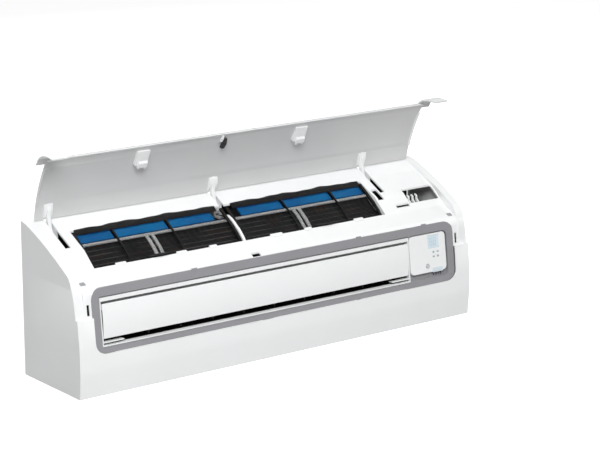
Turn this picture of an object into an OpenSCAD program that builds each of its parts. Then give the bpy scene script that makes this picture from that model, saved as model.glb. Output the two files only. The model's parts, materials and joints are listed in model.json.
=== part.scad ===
// Wall-mounted split air conditioner, indoor unit, with its front panel swung up.
// +X runs along the unit to its right end, -Y faces the room and +Z is up. The wall is the
// plane Y = 0. The origin is the middle of the wall plate's screw pattern, on the wall.
// A section of the unit is drawn as [u, v]: u is the distance from the wall, v is the
// height above the underside of the standard section. along() sweeps it along X.

/* [Body] */
// Length of the unit
body_w = 1000; // [850:1:1200]
// Height of the unit; the skirt below the outlet takes up a change
body_h = 320; // [270:1:390]
// Depth of the unit from the wall; the space behind the works takes up a change
body_d = 216; // [216:1:250]
// Thickness of the moulded walls
wall = 2.5; // [2:0.1:3]
// Height of the screw pattern's middle above the underside
mount_h = 160; // [120:1:190]
// Length of each end cap, beside the sunken deck
cap_w = 20; // [14:1:26]

/* [Front panel] */
// Angle that the panel is swung up from closed
panel_open = 97.7; // [60:0.1:98]
// Thickness of the panel
panel_t = 3; // [2:0.1:3.4]
// Width of the leg at each end of the panel
leg_w = 36; // [24:1:36]
// Width of each hinge arm
arm_w = 8; // [5:0.5:8]
// Width of each block clip
clip_w = 34; // [20:1:40]
// Radius of the hinge pins
hinge_r = 3; // [2:0.1:3.5]

/* [Air filters] */
// Distance from the right end of the unit to the filter window
window_right = 185; // [180:1:205]
// Distance from the left end of the unit to the filter window
window_left = 79; // [70:1:110]
// Width of the rib between the two filters
rib_w = 6; // [4:0.5:10]
// Thickness of the filter frames
filter_t = 4; // [3:0.1:5]
// Gap round each filter
filter_gap = 1.5; // [1:0.1:3]
// Number of bars across each filter
filter_bars = 2; // [1:1:4]

/* [Outlet] */
// Height of the trim ring
trim_h = 130; // [130:1:131]
// Width of the trim ring's band
trim_band = 18; // [14:1:19]
// Width of the trim ring's lower band
trim_low = 12; // [11:0.5:13]
// Distance from each end of the unit to the trim ring
trim_end = 38; // [37:1:60]
// Distance from the right end of the unit to the display bay
bay_end = 162; // [150:1:175]
// Number of air vanes in each of the two banks
vanes = 5; // [3:1:5]
// Radius of the vane pivots
vane_r = 2; // [1.5:0.1:2.5]

/* [Works] */
// Radius of the cross-flow blower wheel
blower_r = 44; // [36:0.5:46]
// Number of blades on the wheel
blades = 30; // [20:1:36]
// Radius of the fan shaft
shaft_r = 5; // [4:0.1:6]
// Radius of the fan motor
motor_r = 36; // [28:1:38]
// Radius of the copper tubes in the heat exchanger
tube_r = 3.5; // [3:0.1:4]
// Thickness of the heat exchanger
fin_t = 22; // [16:1:23]
// Radius of the gas pipe
gas_r = 4.76; // [3:0.01:6]
// Radius of the liquid pipe
liquid_r = 3.18; // [2:0.01:5]
// Length of pipe that stands out of each nut
pipe_end = 14; // [8:1:20]
// Outer radius of the drain spout
drain_r = 8; // [7:0.5:9]

/* [Wall plate] */
// Length of the wall plate
plate_w = 760; // [700:1:800]
// Height of the wall plate
plate_h = 170; // [150:1:180]
// Thickness of the wall plate
plate_t = 1.5; // [1:0.1:2]
// Distance between the fixing screws along X
screw_x = 640; // [400:1:660]
// Distance between the fixing screws along Z
screw_z = 100; // [80:1:110]
// Radius of the fixing holes
screw_hole_r = 2.75; // [2:0.05:3.5]

/* [Hidden] */

white = [0.93, 0.94, 0.95];
trim_grey = [0.49, 0.49, 0.51];
black = [0.06, 0.06, 0.07];
blue = [0.04, 0.38, 0.63];
copper = [0.72, 0.40, 0.22];

end_x = body_w / 2;
run_gap = 0.05;                 // a pin or shaft in its hole
free_gap = 0.4;                 // between pieces that move past each other
fit_gap = 0.3;                  // between fixed pieces
$fn = 48;

// Standard section of the works, moved out to the front and top of the body
section_d = 216;
section_h = 320;
shift_u = body_d - section_d;
shift_v = body_h - section_h;

// Sunken deck: its points from the top rear edge down to the step above the skirt
top_back = [4, 318];
strip_back = [24, 314];
strip_front = [56, 296];
deck_mid = [112, 268];
deck_front = [148, 238];
lip_top = [191, 215.5];
lip_low = [198, 204];
step_in = [203, 158];
step_out = [209, 158];
skirt_top = [215, 104];
skirt_mid = [216, 52];
skirt_low = [212, 0];

// Panel hinge, and the panel's inner face when it is shut
pivot = [37, 279];
panel_back = [77, 289];
panel_bow = [142, 270.5];
panel_front = [203, 214.5];
leg_bow = [216, 198];
leg_tip = [204.6, 160];

// Filter: an arc whose outer face clears the shut panel
filter_c = [10, 126];
filter_r = 169;
filter_a0 = 38;
filter_a1 = 70;
bar_w = 4;
bar_inset = 12;
tab_w = 42;
cartridge_inset = 26;
arm_room_a = 52;                // the rib is low behind this angle, under the hinge arm

// Outlet: the tilted plane of the trim, from its lower edge
trim_foot = [212.5, 84];
trim_tilt = 7;
trim_depth = 12;
trim_r = 24;
flap_pivot = [195, 174];
flap_top = [202, 181];
flap_low = [207, 112];
flap_pin_r = 2.5;
vane_u = 168;
vane_v0 = 100;
vane_v1 = 170;
vane_len = 24;
link_u = 186;
link_v = 113;
link_t = 3;
link_pin_r = 1.2;

// Blower, scroll and heat exchanger
blower_c = [88, 150];
scroll_gap = 8;
scroll_grow = 10;
floor_front = [197, 97];
slab_foot = [150, 214];
slab_dir = 144.5;
slab_len = 84;
rear_foot = [18, 190];
rear_dir = 66;
rear_len = 74;
rear_fin_t = -fin_t * 0.8;      // measured to the other side of its foot
screw_r = 1.6;
pipe_u = 22;
nut_len = 20;

// Places along X
window_x0 = -end_x + window_left;
window_x1 = end_x - window_right;
window_u0 = strip_front[0] + 2;
window_u1 = deck_front[0];
rib_x = (window_x0 + window_x1) / 2;
works_x0 = -end_x + 54;
works_x1 = end_x - 164;
duct_x0 = works_x0 + 2;
bay_x0 = end_x - bay_end;
bay_x1 = end_x - trim_end - trim_band;
flap_x0 = duct_x0 + 2;
flap_x1 = bay_x0 - 3;
arm_x = [-end_x + 50, rib_x, end_x - 154];
clip_x = [(arm_x[0] + arm_x[1]) / 2, (arm_x[1] + arm_x[2]) / 2];
latch_x = rib_x - 2;
screw_x_all = [-end_x + 120, 0, end_x - 120];
bank_step = (flap_x1 - flap_x0) / 10;

// ---- Drawing helpers ----

// Sweeps a section, drawn as [u, v], from x0 to x1
module along(x0, x1)
    translate([x1, -shift_u, shift_v - mount_h]) rotate([90, 0, -90])
        linear_extrude(x1 - x0) children();

// Puts a flat shape, drawn as [x, height], on the tilted front plane of the trim
module on_front(depth)
    translate([0, -shift_u - trim_foot[0], shift_v - mount_h + trim_foot[1]])
        rotate([90 - trim_tilt, 0, 0]) translate([0, 0, depth]) children();

// Turns the shut panel about its hinge to where it stands
module swung_up()
    translate([0, -shift_u - pivot[0], shift_v - mount_h + pivot[1]])
        rotate([-panel_open, 0, 0])
            translate([0, shift_u + pivot[0], mount_h - shift_v - pivot[1]]) children();

function mix(a, b, t) = a * (1 - t) + b * t;
function curve(a, b, c, n) = [for (i = [0 : n]) let (t = i / n) mix(mix(a, b, t), mix(b, c, t), t)];
function arc(c, r, a0, a1, n) =
    [for (i = [0 : n]) let (a = mix(a0, a1, i / n)) c + r * [cos(a), sin(a)]];
function turned(a) = [cos(a), sin(a)];
function back_to_front(points) = [for (i = [len(points) - 1 : -1 : 0]) points[i]];

// Rounded rectangle from its lower left corner
function rounded(x0, y0, x1, y1, r, n) = concat(
    arc([x1 - r, y1 - r], r, 0, 90, n), arc([x0 + r, y1 - r], r, 90, 180, n),
    arc([x0 + r, y0 + r], r, 180, 270, n), arc([x1 - r, y0 + r], r, 270, 360, n));

module bar_between(a, b, t) {
    side = [a[1] - b[1], b[0] - a[0]] / norm(b - a) * t / 2;
    polygon([a + side, b + side, b - side, a - side]);
}

// ---- Casing sections ----

cap_outline = concat([top_back], curve(strip_back, [96, 289], [176, 241], 8),
    curve([180, 237], [196, 218], step_in, 6), [step_out, skirt_top, skirt_mid]);
deck_outline = [top_back, strip_back, strip_front, deck_mid, deck_front, lip_top, lip_low,
    step_in, step_out, skirt_top, skirt_mid];
under_v = -shift_v;             // the underside, in section heights
skirt_back_u = 60;

module filled(outline)
    polygon(concat(outline, [[skirt_low[0], under_v], [-shift_u + 4, under_v],
        [-shift_u + 4, top_back[1]]]));

module skin(outline) {
    difference() {
        filled(outline);
        translate([-wall, -wall]) filled(outline);
        translate([-shift_u, under_v]) square([skirt_back_u, wall]);
    }
    translate([skirt_back_u, under_v]) square([skirt_low[0] - skirt_back_u - wall / 2, wall]);
}

// ---- Casing and its fittings ----

module slot_through(x0, x1, u0, u1, v0, v1)
    along(x0, x1) translate([u0, v0]) square([u1 - u0, v1 - v0]);

module end_wall(x)
    along(x, x + wall) filled(cap_outline);

module deck_step(x)
    along(x, x + wall) difference() {
        filled(cap_outline);
        translate([-wall / 2, -wall / 2]) filled(deck_outline);
    }

module front_casing() color(white) {
    difference() {
        union() {
            along(-end_x, -end_x + cap_w) skin(cap_outline);
            along(-end_x + cap_w, end_x - cap_w) skin(deck_outline);
            along(end_x - cap_w, end_x) skin(cap_outline);
            end_wall(-end_x);
            end_wall(end_x - wall);
            deck_step(-end_x + cap_w - wall);
            deck_step(end_x - cap_w);
        }
        slot_through(window_x0, window_x1, window_u0, window_u1, 200, 330);
        for (x = arm_x) slot_through(x - arm_w / 2 - 2, x + arm_w / 2 + 2, 10, 100, 240, 330);
        on_front(-40) linear_extrude(60) polygon(rounded(-end_x + trim_end - fit_gap, -fit_gap,
            end_x - trim_end + fit_gap, trim_h + fit_gap, trim_r, 6));
        for (x = screw_x_all) translate([x, -shift_u - 150, -mount_h - 1])
            cylinder(h = wall + 2, r = screw_r + run_gap);
        // wiring bay, and the openings beside the filter window
        slot_through(end_x - 105, end_x - cap_w - wall, 102, 135, 240, 330);
        slot_through(window_x1 + 6, arm_x[2] - arm_w / 2 - 6, 88, 118, 240, 330);
        slot_through(end_x - 145, end_x - 108, 132, 146, 244, 330);
        // catches for the panel's latch and legs
        slot_through(latch_x - 14, latch_x + 7, 182, 192, 200, 330);
        for (side = [-1, 1]) slot_through(side * (end_x - 30) - 3, side * (end_x - 30) + 3,
            190, 230, step_in[1] + 4, step_in[1] + 26);
    }
    window_bars();
    hinge_ears();
}

// Rib, cross bars and guides that the filters lie on
module window_bars() {
    along(rib_x - rib_w / 2, rib_x + rib_w / 2)
        polygon(concat([[window_u1 + 0.5, deck_front[1] - 0.5],
            [window_u1 + 0.5, deck_front[1] - 8]],
            arc(filter_c, filter_r - filter_t - 6, filter_a0 + 2, filter_a1, 8),
            arc(filter_c, filter_r - 7, filter_a1, arm_room_a, 4),
            arc(filter_c, filter_r + 2, arm_room_a - 1, filter_a0 + 2, 5)));
    for (x = [window_x0 - 2, window_x1]) along(x, x + 2)
        polygon(concat(arc(filter_c, filter_r - filter_t - 6, filter_a0 + 2, filter_a1, 8),
            [strip_front + [1, -3], deck_mid - [1, 2], deck_front - [0, 2]]));
    for (bay = [[window_x0, rib_x - rib_w / 2], [rib_x + rib_w / 2, window_x1]]) {
        mid_x = (bay[0] + bay[1]) / 2;
        along(bay[0] - 0.5, bay[1] + 0.5) guide_bar(60.5, 62.5);
        for (x = [mid_x - 26, mid_x - 12]) along(x, x + 7) guide_bar(filter_a0 - 1, 61);
    }
}

// A bar just under the filters, between two angles of their arc
module guide_bar(a0, a1)
    polygon(concat(arc(filter_c, filter_r - filter_t - 0.5, a0, a1, 4),
        arc(filter_c, filter_r - filter_t - 3.5, a1, a0, 4)));

// Two ears beside each arm hold its pin
module hinge_ears()
    for (x = arm_x, side = [-1, 1])
        translate([side * (arm_w / 2 + 4), 0, 0]) along(x - 1.5, x + 1.5) difference() {
            polygon([pivot + [-9, -9], pivot + [9, -9], pivot + [9, 22],
                pivot + [-9, 30]]);
            translate(pivot) circle(hinge_r + run_gap);
        }

module hinge_pins() color([0.75, 0.76, 0.78])
    for (x = arm_x) along(x - arm_w / 2 - 5.5, x + arm_w / 2 + 5.5)
        translate(pivot) circle(hinge_r);

module casing_screws() color([0.7, 0.71, 0.73])
    for (x = screw_x_all) translate([x, -shift_u - 150, -mount_h - 1.2]) {
        cylinder(h = 1.2, r = 4);
        translate([0, 0, 1]) cylinder(h = 10, r = screw_r);
    }

// ---- Trim, display and outlet ----

module trim_ring() color(trim_grey) {
    x1 = end_x - trim_end;
    on_front(-trim_depth) difference() {
        linear_extrude(trim_depth) polygon(rounded(-x1, 0, x1, trim_h, trim_r, 6));
        translate([0, 0, -1]) linear_extrude(trim_depth + 2)
            polygon(rounded(-x1 + trim_band, trim_low, bay_x0 - 1, trim_h - trim_band, 1, 2));
        translate([0, 0, 4]) linear_extrude(trim_depth)
            polygon(rounded(bay_x0 - 3, trim_band - 4, bay_x1, trim_h - trim_band, 12, 4));
        translate([bay_x0 + 6, trim_band + 14, -1]) cube([bay_x1 - bay_x0 - 16, 70, 20]);
        for (i = [0 : 3]) translate([bay_x1 - 38 + i * 6.5, trim_band - 2, -1]) cube([3.6, 9, 20]);
    }
    for (x = [-end_x + 277, rib_x + 250, end_x - 124])
        on_front(-2.6) translate([x, trim_h - 1, 0]) cube([12, 4, 3]);
}

module display_cover() color(white)
    on_front(-7.6) difference() {
        linear_extrude(6.6) difference() {
            polygon(rounded(bay_x0 + 1, trim_band + 8, bay_x1 - 4, trim_h - trim_band - 2, 9, 4));
            translate([end_x - 109, trim_band + 59]) square([31, 29]);
            translate([end_x - 113, trim_band + 22]) circle(4.2 + free_gap);
            for (i = [0 : 1], j = [0 : 1])
                translate([end_x - 98 + i * 12, trim_band + 38 + j * 10]) square([7, 5]);
        }
        translate([0, 0, -1]) linear_extrude(5)
            polygon(rounded(bay_x0 + 4, trim_band + 11, bay_x1 - 7, trim_h - trim_band - 5, 7, 4));
    }

module display_window() color([0.72, 0.82, 0.88])
    on_front(-3.4) translate([end_x - 109 + 0.15, trim_band + 59.15, 0])
        cube([30.7, 28.7, 2.2]);

module indicator_lenses() color([0.55, 0.66, 0.72])
    on_front(-3.4) for (i = [0 : 1], j = [0 : 1])
        translate([end_x - 98 + i * 12 + 0.15, trim_band + 38.15 + j * 10, 0])
            cube([6.7, 4.7, 2.2]);

module test_button() color([0.78, 0.79, 0.80])
    on_front(-3.6) translate([end_x - 113, trim_band + 22, 0]) {
        translate([0, 0, -1]) cylinder(h = 4.2, r = 4.2);
        translate([0, 0, -1.4]) cylinder(h = 0.8, r = 5.6);
    }

module display_board() color([0.10, 0.32, 0.20])
    on_front(-14.4) difference() {
        translate([bay_x0 + 20, trim_band + 16, 0]) cube([bay_x1 - bay_x0 - 32, 66, 1.6]);
        for (x = [bay_x0 + 24, bay_x1 - 16]) translate([x, trim_band + 20, -1])
            cylinder(h = 4, r = 1.5);
    }

// White mouth of the air duct, inside the trim
module outlet_frame() color(white) {
    x1 = bay_x0 - 1.5;
    x0 = -end_x + trim_end + trim_band + 0.5;
    along(x0, x1) polygon([[184, 172], [186.5, 172], [186.5, 186.8], [200.5, 185.8],
        [199.6, 192.8], [184, 192.8]]);
    along(x0, x1) polygon([[198.6, 97.2], [210.3, 96.6], [210.1, 98.6], [198.6, 98.8]]);
    for (x = [x0, x1 - 50]) along(x, x + 50)
        polygon([[196, 102.6], [209, 103.6], [208.8, 105.8], [196, 104.8]]);
    for (x = [x0, x1 - wall]) along(x, x + wall) difference() {
        polygon([[184, 98.6], [198.6, 97.8], [209.6, 97.2], [200, 186.5], [184, 187.5]]);
        translate(flap_pivot) circle(flap_pin_r + run_gap);
    }
}

module outlet_flap() color(white) {
    x0 = -end_x + trim_end + trim_band + wall + 2;
    x1 = bay_x0 - 1.5 - wall - 1.5;
    bow = [2.2, 0];
    outer = curve(flap_top, (flap_top + flap_low) / 2 + 2 * bow, flap_low, 8);
    inner = curve(flap_low - [2.4, 0], (flap_top + flap_low) / 2 + 2 * bow - [2.4, 0],
        flap_top - [2.4, 0.6], 8);
    along(x0, x1) polygon(concat(outer, inner));
    for (x = [x0, (x0 + x1) / 2, x1 - 4]) along(x, x + 4) {
        translate(flap_pivot) circle(4.6);
        polygon([flap_pivot + [0, -4.6], flap_top - [1.6, 12], flap_top - [2, 2],
            flap_pivot + [0, 4.6]]);
    }
    along(x0 - wall - 1.3, x0 + 0.2) translate(flap_pivot) circle(flap_pin_r);
    along(x1 - 0.2, x1 + wall + 1.3) translate(flap_pivot) circle(flap_pin_r);
}

module flap_motor() color([0.85, 0.86, 0.82]) {
    along(bay_x0 + 2, bay_x0 + 16) translate(flap_pivot - [20, 0]) circle(11);
    along(bay_x0 + 4, bay_x0 + 6) translate(flap_pivot - [20, 15]) square([6, 30], center = true);
}

function vane_x(bank, i) = bank == 0 ? flap_x0 + (i - 0.5) * bank_step
    : flap_x0 + (i + 4.5) * bank_step;

// One upright air vane, with its pivot pin and the small pin for the link bar
module vane(bank, i) color(black)
    translate([vane_x(bank, i), -shift_u, shift_v - mount_h]) {
        difference() {
            translate([-0.8, -vane_u - vane_len, vane_v0]) cube([1.6, vane_len + 10,
                vane_v1 - vane_v0]);
            translate([-2, -vane_u - vane_len - 1, link_v - 2.4])
                cube([4, vane_len - 9, link_t + 4.8]);
        }
        translate([0, -vane_u, vane_v0 - 10]) cylinder(h = 11, r = vane_r);
        translate([0, -link_u, link_v - 2.6]) cylinder(h = link_t + 5.2, r = link_pin_r);
    }

// Flat bar that turns the vanes of one bank together
module link(bank) color(black) {
    x0 = vane_x(bank, 1);
    x1 = vane_x(bank, vanes);
    translate([0, -shift_u, shift_v - mount_h]) difference() {
        translate([x0 - 8, -link_u - 4.5, link_v]) cube([x1 - x0 + 16, 11.5, link_t]);
        for (i = [1 : vanes]) translate([vane_x(bank, i) - link_pin_r - free_gap,
            -link_u - 2.2, link_v - 1]) cube([2 * (link_pin_r + free_gap), 6.8, link_t + 2]);
    }
}

module vane_motors() color([0.85, 0.86, 0.82])
    for (bank = [0, 1]) translate([vane_x(bank, 1), -shift_u - vane_u, shift_v - mount_h + 66]) {
        cylinder(h = 14, r = 12);
        translate([0, 0, 13.5]) cylinder(h = 6, r = 4);
    }

// ---- Front panel ----

panel_inner = curve(panel_back, panel_bow, panel_front, 12);
panel_x = end_x - cap_w - 1.5;
touch = [0.5, 0.87] * 0.05;      // keeps glued-on pieces just off the curved face

module panel_skin()
    polygon(concat(panel_inner, back_to_front([for (p = panel_inner) p + panel_t * [0.5, 0.866]])));

module leg_skin() {
    root = panel_inner[11];
    polygon(concat([root], curve(panel_front, leg_bow, leg_tip, 8),
        curve(leg_tip + [panel_t, 0], leg_bow + panel_t * [1.17, 0.2],
            panel_front + panel_t * [0.82, 0.6], 8), [root + panel_t * [0.5, 0.866]]));
}

module front_panel() color(white)
    swung_up() {
        along(-panel_x, panel_x) panel_skin();
        along(end_x - leg_w - 0.5, end_x - 0.5) leg_skin();
        along(-end_x + 0.5, -end_x + leg_w + 0.5) leg_skin();
        for (x = [-panel_x, panel_x - 2]) along(x, x + 2) polygon(concat(
            [for (i = [3 : 10]) panel_inner[i] + [0.4, 0.5]],
            [for (i = [10 : -1 : 3]) panel_inner[i] - [1.5, 2.6]]));
    }

module panel_arms() color(white)
    swung_up() for (x = arm_x) along(x - arm_w / 2, x + arm_w / 2) difference() {
        union() {
            translate(pivot) circle(7);
            polygon([pivot + [-2, 6.7], pivot + [3, -6.3], panel_back + [-17, -10],
                panel_back + [7, -9.5], panel_back + [17, -13],
                panel_inner[3] - touch, panel_inner[0] + [1, -0.4] - touch,
                panel_back + [-4, -1]]);
        }
        translate(pivot) circle(hinge_r + run_gap);
    }

// Block clips on the inner face, near the free edge
module panel_clips() color(white)
    swung_up() for (x = clip_x)
        along(x - clip_w / 2, x + clip_w / 2)
            polygon([panel_inner[8] - touch, panel_inner[11] - touch,
                panel_inner[11] - [5, 6], panel_inner[8] - [3, 13.5]]);

module panel_latch() color([0.2, 0.2, 0.21])
    swung_up() along(latch_x - 1, latch_x + 6) polygon([panel_inner[9] - touch,
        panel_inner[11] - touch, panel_inner[11] - [2.5, 5.5], panel_inner[10] - [5, 8.5],
        panel_inner[9] - [3, 7]]);

// ---- Filters ----

function bay_x(side) = side == 0 ? [window_x0 + filter_gap, rib_x - rib_w / 2 - filter_gap]
    : [rib_x + rib_w / 2 + filter_gap, window_x1 - filter_gap];

// Distances along a filter are measured from the end beside the rib
function filter_len(side) = bay_x(side)[1] - bay_x(side)[0];
function filter_x(side, d) = side == 0 ? bay_x(side)[1] - d : bay_x(side)[0] + d;
function bar_at(side, i) = bar_inset + i * (filter_len(side) - bar_inset) / (filter_bars + 0.7);

module filter_arc(r0, r1, a0, a1)
    polygon(concat(arc(filter_c, r1, a0, a1, 12), arc(filter_c, r0, a1, a0, 12)));

module filter_frame(side) color(black) {
    bay = bay_x(side);
    r0 = filter_r - filter_t;
    difference() {
        along(bay[0], bay[1]) filter_arc(r0, filter_r, filter_a0 + 1.5, filter_a1 - 1);
        along(bay[0] + 6, bay[1] - 6)
            filter_arc(r0 - 2, filter_r + 2, filter_a0 + 3.5, filter_a1 - 3);
    }
    for (i = [1 : filter_bars]) {
        x = filter_x(side, bar_at(side, i));
        along(x - bar_w / 2, x + bar_w / 2)
            filter_arc(r0 + 1.6, filter_r, filter_a0 + 3, filter_a1 - 2.5);
    }
    tab_x = filter_x(side, (bar_at(side, 1) + bar_at(side, 2)) / 2);
    along(tab_x - tab_w / 2, tab_x + tab_w / 2)
        filter_arc(r0 + 1.5, filter_r + 3, filter_a0 + 1, filter_a0 + 3.5);
}

module filter_mesh(side) color([0.16, 0.16, 0.17]) {
    bay = bay_x(side);
    r0 = filter_r - filter_t;
    along(bay[0] + 6.1, bay[1] - 6.1)
        filter_arc(r0 + 0.4, r0 + 1.2, filter_a0 + 3.6, filter_a1 - 3.1);
}

// Blue air-cleaning cartridges, clipped to the upper half of each filter
module cartridges(side) color(blue) {
    ends = concat([cartridge_inset], [for (i = [1 : filter_bars]) bar_at(side, i)],
        [filter_len(side) - 4]);
    for (i = [0 : filter_bars]) {
        x0 = filter_x(side, ends[i] + 4);
        x1 = filter_x(side, ends[i + 1] - 4);
        along(min(x0, x1), max(x0, x1))
            filter_arc(filter_r - filter_t + 1.4, filter_r - 0.4, 58, filter_a1 - 3.6);
    }
}

// ---- Heat exchanger ----

function slab(foot, dir, len, t) = [foot, foot + len * turned(dir),
    foot + len * turned(dir) + t * turned(dir + 90), foot + t * turned(dir + 90)];

function slab_tubes(foot, dir, len, t, n) = [for (i = [0 : n - 1], j = [0 : 1])
    foot + (i + 0.5 + j * 0.25 - 0.125) * len / n * turned(dir)
        + (0.28 + 0.44 * j) * t * turned(dir + 90)];

front_tubes = slab_tubes(slab_foot, slab_dir, slab_len, fin_t, 5);
rear_tubes = slab_tubes(rear_foot, rear_dir, rear_len, rear_fin_t, 4);

module fin_block(foot, dir, len, t, holes)
    along(works_x0 + 10, works_x1 - 20) difference() {
        polygon(slab(foot, dir, len, t));
        for (p = holes) translate(p) circle(tube_r + run_gap, $fn = 24);
    }

module evaporator_front() color([0.78, 0.80, 0.82])
    fin_block(slab_foot, slab_dir, slab_len, fin_t, front_tubes);

module evaporator_rear() color([0.78, 0.80, 0.82])
    fin_block(rear_foot, rear_dir, rear_len, rear_fin_t, rear_tubes);

module evaporator_end_plates() color([0.68, 0.70, 0.72])
    for (x = [works_x0 + 8, works_x1 - 19.4]) along(x, x + 1.4) difference() {
        union() {
            polygon(slab(slab_foot, slab_dir, slab_len, fin_t));
            polygon(slab(rear_foot, rear_dir, rear_len, rear_fin_t));
        }
        for (p = concat(front_tubes, rear_tubes)) translate(p)
            circle(tube_r + run_gap, $fn = 24);
    }

// Straight copper tubes, joined in pairs by return bends at both ends
module evaporator_tubes() color(copper)
    for (set = [front_tubes, rear_tubes]) {
        for (p = set) along(works_x0 + 5, works_x1 - 15) translate(p) circle(tube_r, $fn = 24);
        for (i = [0 : 2 : len(set) - 2], x = [works_x0 + 3, works_x1 - 16])
            along(x, x + 3) {
                bar_between(set[i], set[i + 1], 2 * tube_r - 1);
            }
    }

// Gas and liquid pipes, from the heat exchanger down to the open rear of the skirt
function pipe_r(i) = i == 0 ? gas_r : liquid_r;
function pipe_body_r(i) = pipe_r(i) + 0.6;
function pipe_x(i) = works_x1 + 9 + i * 20;
function pipe_top(i) = 226 - i * 16;
function pipe_low(i) = 14 + i * 10;

module at_pipe(i, v)
    translate([pipe_x(i), -shift_u - pipe_u, shift_v - mount_h + v]) children();

module refrigerant_pipes() color(copper)
    for (i = [0, 1]) {
        along(works_x1 - 14, pipe_x(i)) translate([pipe_u, pipe_top(i)])
            circle(pipe_body_r(i));
        at_pipe(i, pipe_top(i)) sphere(pipe_body_r(i));
        at_pipe(i, pipe_low(i) + pipe_end)
            cylinder(h = pipe_top(i) - pipe_low(i) - pipe_end, r = pipe_body_r(i));
        at_pipe(i, pipe_low(i)) cylinder(h = pipe_end + 1, r = pipe_r(i));
    }

module pipe_nuts() color([0.80, 0.66, 0.30])
    for (i = [0, 1]) at_pipe(i, pipe_low(i) + pipe_end) difference() {
        cylinder(h = nut_len, r = pipe_r(i) + 4.5, $fn = 6);
        translate([0, 0, -1]) cylinder(h = nut_len + 2, r = pipe_body_r(i) + run_gap);
    }

// ---- Blower ----

wheel_x0 = works_x0 + 12;
wheel_x1 = works_x1 - 22;

module blower_wheel() color(black) {
    pitch = 360 / blades;
    difference() {
        union() {
            for (i = [0 : 5]) {
                x = mix(wheel_x0, wheel_x1 - 3, i / 5);
                along(x, x + 3) translate(blower_c) difference() {
                    circle(blower_r);
                    if (i > 0 && i < 5) circle(blower_r - 12);
                }
            }
            along(wheel_x0, wheel_x1) translate(blower_c) for (i = [0 : blades - 1])
                rotate(i * pitch) polygon([[blower_r - 11, -0.6], [blower_r - 5, 1.6],
                    [blower_r - 0.6, 3.2], [blower_r - 0.8, 2.2], [blower_r - 5, 0.5],
                    [blower_r - 11, -1.6]]);
            along(wheel_x1 - 12, wheel_x1) translate(blower_c) circle(shaft_r + 6);
            along(wheel_x0, wheel_x0 + 12) translate(blower_c) circle(shaft_r + 6);
        }
        along(wheel_x0 - 1, wheel_x0 + 13) translate(blower_c) circle(shaft_r);
        along(wheel_x1 - 13, wheel_x1 + 1) translate(blower_c) circle(shaft_r);
    }
}

module fan_shaft() color([0.75, 0.76, 0.78]) {
    along(wheel_x1 - 12, works_x1 + 12) translate(blower_c) circle(shaft_r);
    along(works_x0 - 4, wheel_x0 + 12) translate(blower_c) circle(shaft_r);
}

module bearing_holder() color([0.15, 0.15, 0.16])
    along(works_x0 - 6, works_x0 + 4) translate(blower_c) difference() {
        circle(shaft_r + 8);
        circle(shaft_r + run_gap);
    }

module fan_motor() color([0.72, 0.74, 0.76]) {
    along(works_x1 + 6, works_x1 + 46) translate(blower_c) difference() {
        circle(motor_r);
        circle(shaft_r + 1);
    }
    along(works_x1 + 14, works_x1 + 18) translate(blower_c) circle(motor_r - 1);
}

module motor_clamp() color(white)
    along(works_x1 + 20, works_x1 + 34) translate(blower_c) difference() {
        union() {
            circle(motor_r + 4);
            translate([-motor_r - 24, -8]) square([26, 16]);
        }
        circle(motor_r + run_gap);
    }

// ---- Rear chassis ----

scroll_a0 = 150;
scroll_a1 = 270;
function scroll(extra) = [for (a = [scroll_a0 : 10 : scroll_a1])
    blower_c + (blower_r + scroll_gap + extra
        + scroll_grow * (a - scroll_a0) / (scroll_a1 - scroll_a0)) * turned(a)];

module scroll_wall()
    polygon(concat(scroll(0), [floor_front, floor_front - [0, 3]],
        back_to_front(scroll(3))));

module rear_chassis() color(black) {
    difference() {
        union() {
            along(-end_x + wall + 3, end_x - wall - 3) back_sheet();
            along(works_x0, works_x1) scroll_wall();
            along(works_x0, works_x1) polygon([[5, 182], [scroll(0)[0][0], scroll(0)[0][1]],
                [scroll(3)[0][0], scroll(3)[0][1] - 3], [5, 178]]);
            for (x = [works_x0 - wall, works_x1]) along(x, x + wall) side_outline();
        }
        for (x = [works_x0 - wall - 1, works_x1 - 1]) along(x, x + wall + 2)
            translate(blower_c) circle(x < 0 ? shaft_r + 8 + fit_gap : shaft_r + 3);
        for (bank = [0, 1], i = [1 : vanes])
            translate([vane_x(bank, i), -shift_u - vane_u, shift_v - mount_h + 80])
                cylinder(h = 24, r = vane_r + free_gap);
        // slots that the wall plate's hooks reach through, and the pipe opening
        for (x = [-plate_w / 4, plate_w / 4])
            translate([x - 17, -shift_u - 20, plate_h / 2 - 22]) cube([34, 40, 14]);
        slot_through(-end_x - 1, -end_x + 70, -10, 30, 50, 110);
    }
}

module back_sheet()
    translate([-shift_u + plate_t + 1.5, under_v + 18])
        square([3, section_h - 30 - under_v - 1]);

module side_outline()
    difference() {
        polygon([[5, 60], [5, 260], [100, 260], [138, 230], [180, 206],
            [183, 102], [180, 92], [120, 84], [88, 84]]);
        for (i = [0, 1]) translate([pipe_u, pipe_top(i)]) circle(pipe_body_r(i) + free_gap);
    }

module drain_pan() color(white) {
    along(works_x0 + 0.4, works_x1 - 0.4) polygon([[122, 204], [122, 186], [134, 170],
        [138, 170], [140, 180], [182, 188], [182, 204], [179, 204], [179, 192], [126, 189],
        [126, 204]]);
}

module drain_spout() color([0.85, 0.86, 0.86])
    translate([works_x0 - 16, -shift_u - 22, shift_v - mount_h + 30]) difference() {
        union() {
            cylinder(h = 60, r = drain_r);
            translate([0, 0, 44]) cylinder(h = 6, r = drain_r + 2);
        }
        translate([0, 0, -1]) cylinder(h = 62, r = drain_r - 2);
    }

// ---- Controls ----

box_x0 = end_x - 100;
box_x1 = end_x - 12;

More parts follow.
